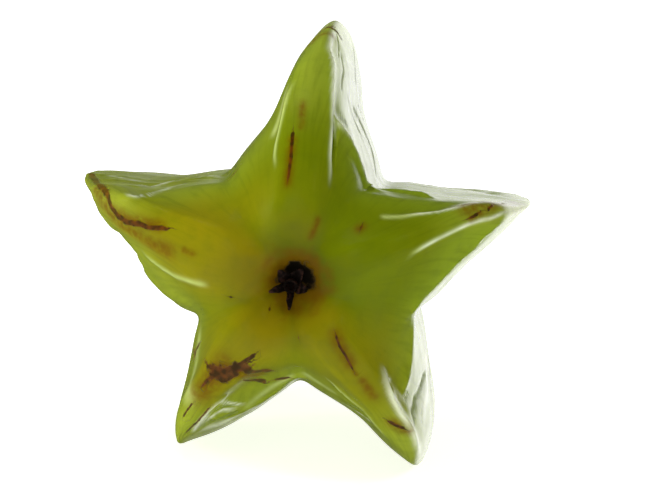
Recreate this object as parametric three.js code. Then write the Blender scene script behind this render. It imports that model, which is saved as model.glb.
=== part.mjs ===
// A whole star fruit (carambola) as picked, lying on two of its five ribs.
// Millimetres, +Z up: the stem end faces -Y, the tip faces +Y, and the fruit rests on z = 0.
import * as THREE from 'three';
import { LoftGeometry } from 'three/addons/geometries/LoftGeometry.js';

const fruitLength = 104; // stem end to tip
const ribRadius = 38; // fruit axis to a rib's crest at the widest place
const degrees = Math.PI / 180;

// The crest of a rib and the bottom of a valley, from the floor of the stem pit to the tip.
// Each point is (share of the length, share of the rib radius). The two lines are paired point by point.
const crestLine = new THREE.SplineCurve([
  [0.046, 0.035], [0.035, 0.095], [0.014, 0.165], [0.002, 0.26], [0.012, 0.4], [0.045, 0.58], [0.105, 0.755],
  [0.19, 0.895], [0.3, 0.98], [0.43, 1], [0.565, 0.955], [0.7, 0.83], [0.815, 0.64], [0.905, 0.41],
  [0.965, 0.19], [0.992, 0.065], [1, 0.02],
].map(([along, out]) => new THREE.Vector2(along, out)));
const valleyLine = new THREE.SplineCurve([
  [0.046, 0.033], [0.038, 0.085], [0.024, 0.14], [0.02, 0.205], [0.03, 0.29], [0.056, 0.375], [0.108, 0.435],
  [0.19, 0.47], [0.3, 0.495], [0.43, 0.5], [0.565, 0.49], [0.7, 0.435], [0.815, 0.335], [0.905, 0.215],
  [0.965, 0.105], [0.992, 0.04], [1, 0.015],
].map(([along, out]) => new THREE.Vector2(along, out)));

// Ribs, clockwise from the top as seen from the stem end, with sizes in mm and angles in degrees.
// Each pair is [at the front shoulder, at the widest section].
// turn: the crest's place round the axis. reach: share of the rib radius.
// pad: half width of the blunt ridge beside the stem pit.
// edge, cheek: half thickness just below the crest and halfway down the left and right flanks.
// swell: how far the flank bulges just above the valley.
const ribs = [
  {
    turn: [-1.5, 1], reach: 1.04, pad: 3.8,
    left: { edge: [3.9, 3.9], cheek: [6.4, 6.5] },
    right: { edge: [4.1, 3], cheek: [6.9, 4.7] },
  },
  {
    turn: [63, 69.2], reach: 0.99, pad: 2.9,
    left: { edge: [2.3, 1.7], cheek: [5.8, 4.8] },
    right: { edge: [2.6, 1.5], cheek: [6.4, 6.2] },
  },
  {
    turn: [138, 145.6], reach: 0.985, pad: 3,
    left: { edge: [3.2, 4.7], cheek: [5.8, 8] },
    right: { edge: [3, 1.3], cheek: [4.3, 3.6] },
  },
  {
    turn: [214, 209.8], reach: 0.945, pad: 4.2,
    left: { edge: [3, 1.7], cheek: [4.8, 6.4] },
    right: { edge: [2.7, 1.7], cheek: [4.2, 5.1] },
  },
  {
    turn: [288, 286], reach: 1.03, pad: 5.2,
    left: { edge: [4.4, 3], cheek: [7.2, 9], swell: 1.3 },
    right: { edge: [3.2, 0.9], cheek: [5.4, 3.2] },
  },
];

// The valley clockwise of each rib, in the same way. depth: share of the valley line's radius.
const valleys = [
  { turn: [30, 38], depth: [1.03, 0.9] },
  { turn: [98, 107.5], depth: [1.1, 1.01] },
  { turn: [171, 176.5], depth: [0.78, 0.96] },
  { turn: [246, 240], depth: [0.9, 0.99] },
  { turn: [322, 313.5], depth: [1.08, 1.02] },
];

const ringCount = 48;
const stepsPerSpan = 2;
const thickestEdge = 0.34; // share of a crest's distance to the axis, which keeps the ends from growing blunt

const mix = THREE.MathUtils.lerp;
// 0 at from, 1 at to, with a smooth start and end.
const ease = (value, from, to) => THREE.MathUtils.smoothstep(value, from, to);
// From the value at the front shoulder to the value at the widest section.
const toWidest = ([front, widest], t) => mix(front, widest, ease(t, 0.33, 0.52));

// A list of ribs or valleys carries on round the fruit past either end.
function memberOf(list, index) {
  const turns = Math.floor(index / list.length);
  return { ...list[index - turns * list.length], turns };
}

function placeRound(list, index, t) {
  const { turn, turns } = memberOf(list, index);
  return (toWidest(turn, t) + 360 * turns) * degrees;
}

// Distance from the axis out to a crest and to a valley.
function crestRadius(index, t) {
  return crestLine.getPoint(t).y * ribRadius * mix(1, memberOf(ribs, index).reach, ease(t, 0.1, 0.4));
}

function valleyRadius(index, t) {
  const depth = mix(1, toWidest(memberOf(valleys, index).depth, t), ease(t, 0.2, 0.37));
  return valleyLine.getPoint(t).y * ribRadius * depth;
}

// A point of the skin: how far out along a rib, how far across it, and the share of the way along the fruit.
function skinPoint(ribAngle, out, across, along) {
  const sin = Math.sin(ribAngle);
  const cos = Math.cos(ribAngle);
  return new THREE.Vector3(out * sin + across * cos, along * fruitLength, out * cos - across * sin);
}

// The points of one flank, from just beside the crest down to just beside the valley.
function flankPoints(index, side, t) {
  const rib = ribs[index];
  const flank = side < 0 ? rib.left : rib.right;
  const valleyIndex = side < 0 ? index - 1 : index;
  const ribAngle = placeRound(ribs, index, t);
  const sector = Math.abs(placeRound(valleys, valleyIndex, t) - ribAngle);
  const crest = crestRadius(index, t);
  const valley = valleyRadius(valleyIndex, t);
  const footOut = valley * Math.cos(sector);
  const footAcross = valley * Math.sin(sector);

  const front = ease(t, 0.2, 0.36);
  const body = ease(t, 0.33, 0.52);
  const ribbed = ease(crest, 2.5, 16);
  const taper = Math.min(1, mix(crest / ribRadius, 1, 0.35) * 1.05);
  const edge = Math.min(mix(rib.pad, toWidest(flank.edge, t) * taper, front), crest * thickestEdge);
  const swell = (flank.swell ?? 0) * body * taper;
  const cheek = mix(Math.min(rib.pad * 1.15, footAcross * 0.9), toWidest(flank.cheek, t) * taper, front);

  const stations = [
    { down: 0.08, across: edge * mix(0.9, 0.62, body), share: 0.2, sink: 0.04 },
    { down: 0.26, across: mix(edge, cheek, mix(0.15, 0.42, body)), share: 0.4, sink: 0.25 },
    { down: 0.52, across: cheek, share: 0.6, sink: 0.6 },
    { down: 0.85, across: mix(cheek, footAcross, 0.72) + swell, share: 0.85, sink: 0.92 },
  ];
  return stations.map(({ down, across, share, sink }) => {
    const along = mix(crestLine.getPoint(t).x, valleyLine.getPoint(t).x, sink);
    const roundPoint = skinPoint(ribAngle + side * sector * share, mix(crest, valley, share), 0, along);
    const ribPoint = skinPoint(ribAngle, mix(crest, footOut, down), side * across, along);
    return roundPoint.lerp(ribPoint, ribbed);
  });
}

// One closed section of the fruit, clockwise as seen from the stem end.
function ringAt(t) {
  const outline = [];
  for (let index = 0; index < ribs.length; index++) {
    outline.push(
      skinPoint(placeRound(ribs, index, t), crestRadius(index, t), 0, crestLine.getPoint(t).x),
      ...flankPoints(index, 1, t),
      skinPoint(placeRound(valleys, index, t), valleyRadius(index, t), 0, valleyLine.getPoint(t).x),
      ...flankPoints((index + 1) % ribs.length, -1, t).reverse(),
    );
  }
  const curve = new THREE.CatmullRomCurve3(outline, true, 'centripetal');
  const points = curve.getPoints(outline.length * stepsPerSpan);
  points.pop();
  return points;
}

// The middle of a ring repeated for each of its points, which closes the loft there.
function poleOf(ring) {
  const middle = new THREE.Vector3();
  for (const point of ring) middle.addScaledVector(point, 1 / ring.length);
  return ring.map(() => middle);
}

const sections = [];
for (let ring = 0; ring <= ringCount; ring++) sections.push(ringAt(ring / ringCount));
sections.unshift(poleOf(sections[0]));
sections.push(poleOf(sections.at(-1)));

const fruitSkin = new THREE.MeshStandardMaterial({ color: 0x7d8415, roughness: 0.35, metalness: 0 });
const driedStalk = new THREE.MeshStandardMaterial({ color: 0x1c120b, roughness: 0.9, metalness: 0 });
const driedSepal = new THREE.MeshStandardMaterial({ color: 0x2a1a0e, roughness: 0.85, metalness: 0 });

const starFruit = new THREE.Group();

function addPart(name, geometry, material) {
  const mesh = new THREE.Mesh(geometry, material);
  mesh.name = name;
  starFruit.add(mesh);
}

addPart('fruit', new LoftGeometry(sections), fruitSkin);

// The broken end of the stalk, standing in the middle of the pit, and the withered style at the tip.
const clearance = 0.35;
const pitFloor = crestLine.getPoint(0).x * fruitLength;
const stalkHeight = 2.3;
const stalkStub = new THREE.LatheGeometry([
  [0, 0], [0.95, 0], [1.15, 0.5], [1.05, 1.5], [1.2, 2.1], [0.8, stalkHeight], [0, stalkHeight - 0.3],
].map(([x, y]) => new THREE.Vector2(x, y)), 20);
addPart('stalk_stub', stalkStub.rotateX(Math.PI).translate(0, pitFloor - clearance, 0), driedStalk);

const styleTip = new THREE.LatheGeometry([
  [0, 0], [0.55, 0], [0.5, 0.6], [0.28, 1.5], [0.32, 1.9], [0, 2.1],
].map(([x, y]) => new THREE.Vector2(x, y)), 16);
addPart('style_tip', styleTip.translate(0, fruitLength + clearance, 0), driedStalk);

// Dried sepals lying on the wall of the pit. turn: degrees clockwise from the top. end: how far up the wall
// they reach, along the crest line. curl: how far the point lifts off the wall, in mm.
const sepalStart = 0.02;
const sepals = [
  { turn: 30, end: 0.058, halfWidth: 0.95, curl: 0.3 },
  { turn: 103, end: 0.052, halfWidth: 0.95, curl: 0.2 },
  { turn: 177, end: 0.096, halfWidth: 0.75, curl: 0.1 },
  { turn: 246, end: 0.09, halfWidth: 0.85, curl: 0.2 },
  { turn: 317, end: 0.06, halfWidth: 0.95, curl: 0.5 },
];
const sepalOutline = [0.85, 1, 1, 0.9, 0.68, 0.4, 0.1];
const sepalThickness = 0.36;
const sepalRise = 0.73; // middle of a sepal above the wall
const sepalCorners = 8;

function sepalGeometry({ turn, end, halfWidth, curl }) {
  const outline = sepalOutline.map((width, step) => {
    const share = step / (sepalOutline.length - 1);
    const t = mix(sepalStart, end, share);
    const wall = crestLine.getPoint(t).multiply(new THREE.Vector2(1, ribRadius / fruitLength));
    const slope = crestLine.getTangent(t).multiply(new THREE.Vector2(1, ribRadius / fruitLength)).normalize();
    const lift = sepalRise + curl * share ** 2;
    const along = wall.x * fruitLength - slope.y * lift;
    const out = wall.y * fruitLength + slope.x * lift;
    return Array.from({ length: sepalCorners }, (_, corner) => {
      const angle = -corner / sepalCorners * 2 * Math.PI;
      const across = Math.cos(angle) * width * halfWidth;
      const thick = Math.sin(angle) * sepalThickness / 2 * mix(1, 0.5, share);
      const place = (along - slope.y * thick) / fruitLength;
      return skinPoint(turn * degrees, out + slope.x * thick, across, place);
    });
  });
  return new LoftGeometry([poleOf(outline[0]), ...outline, poleOf(outline.at(-1))]);
}

sepals.forEach((sepal, index) => addPart(`sepal_${index + 1}`, sepalGeometry(sepal), driedSepal));

// The fruit lies with its centre of mass over the two lower crests, which are pressed a little flat there.
const restPitch = -2; // degrees, tip end down
const restRoll = 0.5; // degrees, right side down
const pressedDepth = 0.12;

const rest = new THREE.Euler(restPitch * degrees, restRoll * degrees, 0);
const meshes = [...starFruit.children];
for (const { geometry } of meshes) geometry.applyMatrix4(new THREE.Matrix4().makeRotationFromEuler(rest));
const box = new THREE.Box3().setFromObject(starFruit);
const middle = box.getCenter(new THREE.Vector3());
for (const { geometry } of meshes) geometry.translate(-middle.x, -middle.y, -box.min.z - pressedDepth);
const skin = starFruit.getObjectByName('fruit').geometry.attributes.position;
for (let point = 0; point < skin.count; point++) skin.setZ(point, Math.max(skin.getZ(point), 0));

export default starFruit;
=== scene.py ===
import math

import bmesh
import bpy
import numpy as np
from mathutils import Matrix, Quaternion, Vector, noise


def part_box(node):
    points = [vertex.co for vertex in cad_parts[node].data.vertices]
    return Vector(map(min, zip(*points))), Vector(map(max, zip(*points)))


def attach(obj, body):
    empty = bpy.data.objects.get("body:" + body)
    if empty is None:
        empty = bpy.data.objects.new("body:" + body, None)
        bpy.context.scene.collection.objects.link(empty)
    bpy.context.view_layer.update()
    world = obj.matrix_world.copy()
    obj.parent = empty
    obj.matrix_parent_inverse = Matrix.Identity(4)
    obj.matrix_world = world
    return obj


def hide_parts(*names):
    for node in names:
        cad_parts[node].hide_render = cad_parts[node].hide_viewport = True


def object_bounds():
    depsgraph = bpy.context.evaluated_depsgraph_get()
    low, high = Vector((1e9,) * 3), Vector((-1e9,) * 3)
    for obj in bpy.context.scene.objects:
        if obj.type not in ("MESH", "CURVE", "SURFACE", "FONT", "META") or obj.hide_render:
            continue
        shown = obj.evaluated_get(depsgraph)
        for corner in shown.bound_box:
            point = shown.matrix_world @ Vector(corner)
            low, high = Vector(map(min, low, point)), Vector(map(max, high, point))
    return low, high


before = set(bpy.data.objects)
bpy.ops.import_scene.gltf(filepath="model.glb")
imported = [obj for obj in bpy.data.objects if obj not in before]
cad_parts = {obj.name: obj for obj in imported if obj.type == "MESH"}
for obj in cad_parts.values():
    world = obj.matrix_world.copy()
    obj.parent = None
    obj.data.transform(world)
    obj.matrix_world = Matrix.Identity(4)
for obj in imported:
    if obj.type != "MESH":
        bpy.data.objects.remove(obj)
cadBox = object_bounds()
boxMiddle = (cadBox[0] + cadBox[1]) / 2
bpy.context.scene.view_settings.view_transform = "Standard"


def toLinear(hexColour):
    parts = [int(hexColour[i:i + 2], 16) / 255 for i in (1, 3, 5)]
    return tuple(p / 12.92 if p <= 0.04045 else ((p + 0.055) / 1.055) ** 2.4 for p in parts) + (1,)


def addNode(tree, kind, inputs=None, **settings):  # an input is a value, a hex colour, a socket or a whole node
    node = tree.nodes.new("ShaderNode" + kind)
    for name, value in settings.items():
        setattr(node, name, value)
    for key, value in (inputs or {}).items():
        if isinstance(value, bpy.types.Node):
            value = next(socket for socket in value.outputs if socket.enabled)
        if isinstance(value, bpy.types.NodeSocket):
            tree.links.new(value, node.inputs[key])
        elif isinstance(value, str):
            node.inputs[key].default_value = toLinear(value)
        else:
            node.inputs[key].default_value = value
    return node


def newMaterial(name):
    material = bpy.data.materials.new(name)
    material.use_nodes = True
    material.node_tree.nodes.clear()
    return material, material.node_tree


def deselectAll():
    for thing in bpy.context.selected_objects:
        thing.select_set(False)


def pickOnly(thing):
    deselectAll()
    thing.select_set(True)
    bpy.context.view_layer.objects.active = thing


def addModifier(thing, kind, **settings):  # added and applied at once
    pickOnly(thing)
    modifier = thing.modifiers.new(kind.title(), kind)
    for name, value in settings.items():
        setattr(modifier, name, value)
    bpy.ops.object.modifier_apply(modifier=modifier.name)


# camera: looks at the stem end, a little from above and from the right
camera = {
    "azimuth": 3.46, "elevation": 7.47, "roll": 4.78,  # degrees
    "distance": 0.458, "lens": 151.5, "sensor": 36,  # metres, then mm
    "right": 0.00246, "up": -0.003,  # metres from the middle of the fruit's box, across the picture
}


def addCamera():
    azimuth, elevation = math.radians(camera["azimuth"]), math.radians(camera["elevation"])
    back = Vector((math.sin(azimuth) * math.cos(elevation), -math.cos(azimuth) * math.cos(elevation),
                   math.sin(elevation)))
    turn = (-back).to_track_quat("-Z", "Y") @ Quaternion((0, 0, 1), math.radians(camera["roll"]))
    data = bpy.data.cameras.new("camera")
    data.lens, data.sensor_width = camera["lens"], camera["sensor"]
    thing = bpy.data.objects.new("camera", data)
    bpy.context.collection.objects.link(thing)
    thing.rotation_mode = "QUATERNION"
    thing.rotation_quaternion = turn
    thing.location = boxMiddle + turn @ Vector((camera["right"], camera["up"], camera["distance"]))
    data.clip_start, data.clip_end = 0.01, 50
    bpy.context.scene.camera = thing


addCamera()
print("camera set")

# studio: the surround is bright behind on the right and dim in front; fill lamps give no highlights
studio = {
    "floor": "#f2f2f0", "floorSize": 14, "floorGlow": 0.6,  # metres; the light that it gives the fruit
    "floorLift": (0.8, 1.0), "liftPlace": (0.06, 0.3),  # its white near the fruit and far off, and where, metres
    "brightSide": (0.34, 0.94, -0.05), "brightEdge": (0.86, 0.97),  # cosines where the light starts and is full
    "surroundBright": 1.75, "surroundDim": 0.02,
    "lamps": [  # place, width, watts
        ((0.9, 0.1, 0.75), 0.3, 0.8),
        ((-1.15, -0.1, 0.15), 0.45, 9.5),
        ((0.75, -0.75, 0.8), 0.35, 3),
        ((-0.1, -1.2, 0.4), 0.5, 2.6),
        ((-0.3, -0.2, 1.3), 0.6, 9),
    ],
}


def lightSurround():  # the camera sees plain white; the gloss sees the bright side and the dim rest
    world = bpy.data.worlds.new("white surround")
    bpy.context.scene.world = world
    world.use_nodes = True
    tree = world.node_tree
    tree.nodes.clear()
    rays = addNode(tree, "LightPath")
    look = addNode(tree, "TexCoord").outputs["Generated"]
    direction = addNode(tree, "VectorMath", {0: look, 1: Vector(studio["brightSide"]).normalized()},
                        operation="DOT_PRODUCT")
    start, full = studio["brightEdge"]
    soft = addNode(tree, "MapRange", {"Value": direction.outputs["Value"], "From Min": start, "From Max": full,
                                      "To Min": studio["surroundDim"], "To Max": studio["surroundBright"]},
                   interpolation_type="SMOOTHSTEP")
    seen = addNode(tree, "Mix", {0: rays.outputs["Is Camera Ray"], 2: soft.outputs[0], 3: 1.0})
    ground = addNode(tree, "Background", {"Color": "#ffffff", "Strength": seen.outputs[0]})
    addNode(tree, "OutputWorld", {"Surface": ground.outputs[0]})


def layFloor():
    deselectAll()
    bpy.ops.mesh.primitive_plane_add(size=studio["floorSize"], location=(0, 0, -0.0001))  # just clear of the fruit
    floor = bpy.context.object
    floor.name = "floor"
    material, tree = newMaterial("matt white paper")  # even and white to the eye, with a soft shadow by the fruit
    paper = addNode(tree, "BsdfDiffuse", {"Color": studio["floor"]})
    rays = addNode(tree, "LightPath")
    place = addNode(tree, "TexCoord").outputs["Object"]
    away = addNode(tree, "VectorMath", {0: place}, operation="LENGTH").outputs["Value"]
    near, far = studio["liftPlace"]
    lift = addNode(tree, "MapRange", {"Value": away, "From Min": near, "From Max": far,
                                      "To Min": studio["floorLift"][0], "To Max": studio["floorLift"][1]})
    lift = addNode(tree, "Mix", {0: rays.outputs["Is Camera Ray"], 2: studio["floorGlow"], 3: lift.outputs[0]})
    glow = addNode(tree, "Emission", {"Color": "#ffffff", "Strength": lift.outputs[0]})
    both = addNode(tree, "AddShader", {0: paper.outputs[0], 1: glow.outputs[0]})
    addNode(tree, "OutputMaterial", {"Surface": both.outputs[0]})
    floor.data.materials.append(material)
    floor.visible_glossy = False  # the skin mirrors the surround below the horizon too


def hangLamps():
    for place, width, watts in studio["lamps"]:
        bpy.ops.object.light_add(type="AREA", location=place)
        lamp = bpy.context.object
        lamp.data.shape, lamp.data.size, lamp.data.energy = "DISK", width, watts
        lamp.rotation_euler = (boxMiddle - Vector(place)).to_track_quat("-Z", "Y").to_euler()
        lamp.visible_camera = lamp.visible_glossy = False


lightSurround()
layFloor()
hangLamps()
print("studio built")

# fruit: a finer copy of the CAD skin, with crisp folds, its ripeness and its marks
fruit = {
    "columns": 100, "perRib": 20, "rings": 49,  # the CAD skin's net: lines along the fruit, lines in a rib, rings
    "levels": 2,  # how often each cell of the net is halved
    "ripe": [0.15, 0.0, 0.7, 0.75, 0.95],  # how yellow each rib is, clockwise from the top
    "ripeBlend": (0.4, 1.6),  # where one rib's ripeness turns into the next one's: 0 is its crest and 1 the valley
    "valleyGreen": 0.35, "valley": (0.55, 1), "valleyAlong": (0.08, 0.2),  # the valleys ripen last
    "swellDepth": 0.0003, "swellSize": 0.014, "swellAlong": (0.04, 0.5),  # soft unevenness, metres
    "ridges": 17, "ridgeWidth": 0.16, "ridgeDepth": 0.00015,  # fine raised lines round the flanks
    "ridgeDrift": 0.028, "ridgeSway": 2, "ridgeGaps": (-0.25, 0.25),  # how they wander and break
    "ridgeStart": (0.43, 0.5), "ridgeEnd": (0.6, 0.9),
    "lineSteps": 4,  # from one point of a line to the next
    "foldReach": 0.0035, "foldPower": 1.3,  # metres on each side for each mm of width; how steeply a fold falls
    "foldStart": (0, 0.2), "foldEnd": (0.8, 1),  # shares of its line over which a fold rises and fades
    "crisp": (0.0015, 0.0045), "foldPasses": 30,  # metres from the line where its slopes start to be evened out
    "frontStart": (0.06, 0.12), "frontEnd": (0.3, 0.38), "frontPasses": 50,  # where the shoulders are rounder
    "markStart": (0, 0.25), "markEnd": (0.8, 1),  # where a soft mark rises and fades along its line
    "markReach": 0.004, "scarReach": 0.0016, "scarFade": 0.0008,  # metres past a mark's edge
}

# lines that carry a fold and a mark: (columns clockwise from the rib's crest, share of the way to the tip)
edges = {
    "topRight": [(6, 0.28), (5.3, 0.298), (4.4, 0.313), (4.1, 0.331), (3.7, 0.347), (2.8, 0.36), (2.3, 0.375),
        (1.9, 0.402), (1.6, 0.423), (0.8, 0.443), (0.6, 0.473)],
    "topLeft": [(-3.6, 0.28), (-4, 0.305), (-3.9, 0.322), (-3.3, 0.335), (-2.6, 0.348), (-2.2, 0.36),
        (-1.8, 0.375), (-1.4, 0.392)],
    "rightLower": [(4.2, 0.292), (2.4, 0.295), (2.1, 0.308), (1.7, 0.33), (1.4, 0.351), (1.1, 0.37),
        (0.9, 0.389), (0.8, 0.406), (0.3, 0.427)],
    "lowerRightGroove": [(-6.4, 0.516), (-6.1, 0.481), (-5.5, 0.448), (-4.6, 0.413), (-2.8, 0.386),
        (-1.7, 0.385)],
    "lowerRightEdge": [(6.7, 0.334), (6.1, 0.348), (5.5, 0.359), (4.6, 0.361), (3.6, 0.364), (2.8, 0.381),
        (3, 0.422)],
    "lowerLeftShoulder": [(-4.9, 0.352), (-3.9, 0.349), (-2.9, 0.347), (-2.3, 0.359), (-2, 0.38),
        (-2.2, 0.42)],
    "leftLower": [(-4.9, 0.225), (-4.8, 0.245), (-5.6, 0.288), (-6, 0.327), (-5.7, 0.352), (-5.1, 0.369),
        (-4.6, 0.382)],
}

# ribs are counted clockwise from the top one, seen from the stem end; raise goes out of the skin and push towards
# the stem end, in mm; left and right are the widths in mm beside the line as it is walked
folds = [
    {"rib": 0, "raise": 0.7, "push": 0, "left": 0.9, "right": 0.8,  # top rib: right shoulder of its front
     "line": edges["topRight"]},
    {"rib": 0, "raise": 0.35, "push": 0, "left": 0.7, "right": 0.9,  # its left shoulder
     "line": edges["topLeft"]},
    {"rib": 0, "raise": 1.2, "push": 2.6, "left": 0.9, "right": 4,  # its right side turns back
     "line": [(3.3, 0.355), (4.2, 0.365), (5.2, 0.376), (6.2, 0.39), (7.1, 0.402), (8.3, 0.41), (10, 0.412),
              (12.5, 0.405)]},
    {"rib": 1, "raise": 0, "push": 2.6, "left": 0.9, "right": 4,  # right rib: its upper side turns back
     "line": [(-12.5, 0.41), (-10.4, 0.42), (-9.1, 0.432), (-8.1, 0.438), (-7.4, 0.438), (-6.4, 0.434),
              (-5.6, 0.432), (-4.6, 0.436), (-3.5, 0.452), (-2.6, 0.475), (-1.9, 0.5)]},
    {"rib": 1, "raise": 1.1, "push": 0, "left": 0.9, "right": 4,  # arch of that edge beside the valley
     "line": [(-11.5, 0.415), (-10.4, 0.42), (-9.1, 0.432), (-8.1, 0.438), (-7.4, 0.438), (-6.4, 0.434),
              (-5.6, 0.432)]},
    {"rib": 1, "raise": 0.4, "push": 0, "left": 0.8, "right": 0.8,  # its upper line
     "line": [(-5.9, 0.313), (-4.7, 0.322), (-4, 0.338), (-2.4, 0.351), (-1.9, 0.368), (-1.8, 0.391),
              (-2.1, 0.42)]},
    {"rib": 1, "raise": 0.3, "push": 0, "left": 0.9, "right": 0.8,  # its lower line
     "line": edges["rightLower"]},
    {"rib": 1, "raise": 0.5, "push": 2.6, "left": 0.9, "right": 5,  # its lower side turns back
     "line": [(0.6, 0.48), (1.2, 0.45), (2.2, 0.43), (3.4, 0.424), (4.6, 0.428), (5.8, 0.414), (6.8, 0.408),
              (7.6, 0.398), (8.5, 0.385), (10, 0.38), (12.5, 0.38)]},
    {"rib": 1, "raise": -0.9, "push": 0, "left": 4, "right": 4,  # its back sinks towards the tip
     "line": [(-7.6, 0.655), (-6.7, 0.649), (-5.9, 0.636), (-4.8, 0.625), (-3.9, 0.599), (-3.1, 0.558),
              (-2.4, 0.52)]},
    {"rib": 2, "raise": 0.9, "push": 0, "left": 0.6, "right": 0.8,  # lower right rib: right shoulder
     "line": [(-5.1, 0.31), (-3.9, 0.31), (-2.6, 0.311), (-2.1, 0.32), (-1.5, 0.334), (-1.1, 0.351),
              (-0.9, 0.388), (-0.7, 0.415), (-0.9, 0.455)]},
    {"rib": 2, "raise": 0.7, "push": 1.6, "left": 0.9, "right": 3,  # its right side turns back
     "line": [(-12.5, 0.388), (-10.4, 0.393), (-8.8, 0.397), (-7.4, 0.398), (-6.2, 0.394), (-5.3, 0.379),
              (-3.9, 0.354)]},
    {"rib": 2, "raise": -0.5, "push": 0, "left": 0.8, "right": 0.8,  # groove in that side
     "line": edges["lowerRightGroove"]},
    {"rib": 2, "raise": 0.5, "push": 0, "left": 0.8, "right": 0.8,  # left edge
     "line": edges["lowerRightEdge"]},
    {"rib": 3, "raise": 0.5, "push": 0, "left": 0.9, "right": 0.8,  # lower left rib: right shoulder
     "line": edges["lowerLeftShoulder"]},
    {"rib": 3, "raise": 0, "push": 3.2, "left": 0.9, "right": 5,  # its right side turns back
     "line": [(-12.5, 0.4), (-10, 0.42), (-8.3, 0.45), (-6.9, 0.46), (-5.6, 0.45), (-4.6, 0.43),
              (-3.6, 0.4)]},
    {"rib": 4, "raise": 0.4, "push": 0, "left": 1.2, "right": 2,  # left rib: lower line
     "line": edges["leftLower"]},
    {"rib": 4, "raise": -3.1, "push": 0, "left": 5, "right": 5,  # waist in its lower outline
     "line": [(-2.7, 0.43), (-3.4, 0.445), (-4, 0.455), (-4.6, 0.465), (-5.1, 0.47), (-5.6, 0.47),
              (-6, 0.467), (-6.5, 0.462)]},
    {"rib": 4, "raise": 0.5, "push": 0, "left": 3, "right": 3,  # bulge in its lower outline
     "line": [(-6, 0.44), (-6.7, 0.45), (-7.2, 0.448), (-7.7, 0.42), (-8.3, 0.38)]},
    {"rib": 4, "raise": 0, "push": 3.4, "left": 0.9, "right": 4,  # its upper side turns back
     "line": [(1, 0.44), (1.8, 0.395), (3, 0.376), (4.6, 0.381), (6, 0.406), (6.8, 0.428), (7.8, 0.442),
              (8.9, 0.442), (10.1, 0.42), (12.5, 0.405)]},
    {"rib": 4, "raise": 0.3, "push": 0, "left": 0.6, "right": 0.6,  # line in that side
     "line": [(3.8, 0.45), (4.5, 0.432), (5.4, 0.451), (6.2, 0.489), (7, 0.507), (8.9, 0.498),
              (10.4, 0.444)]},
]

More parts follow.
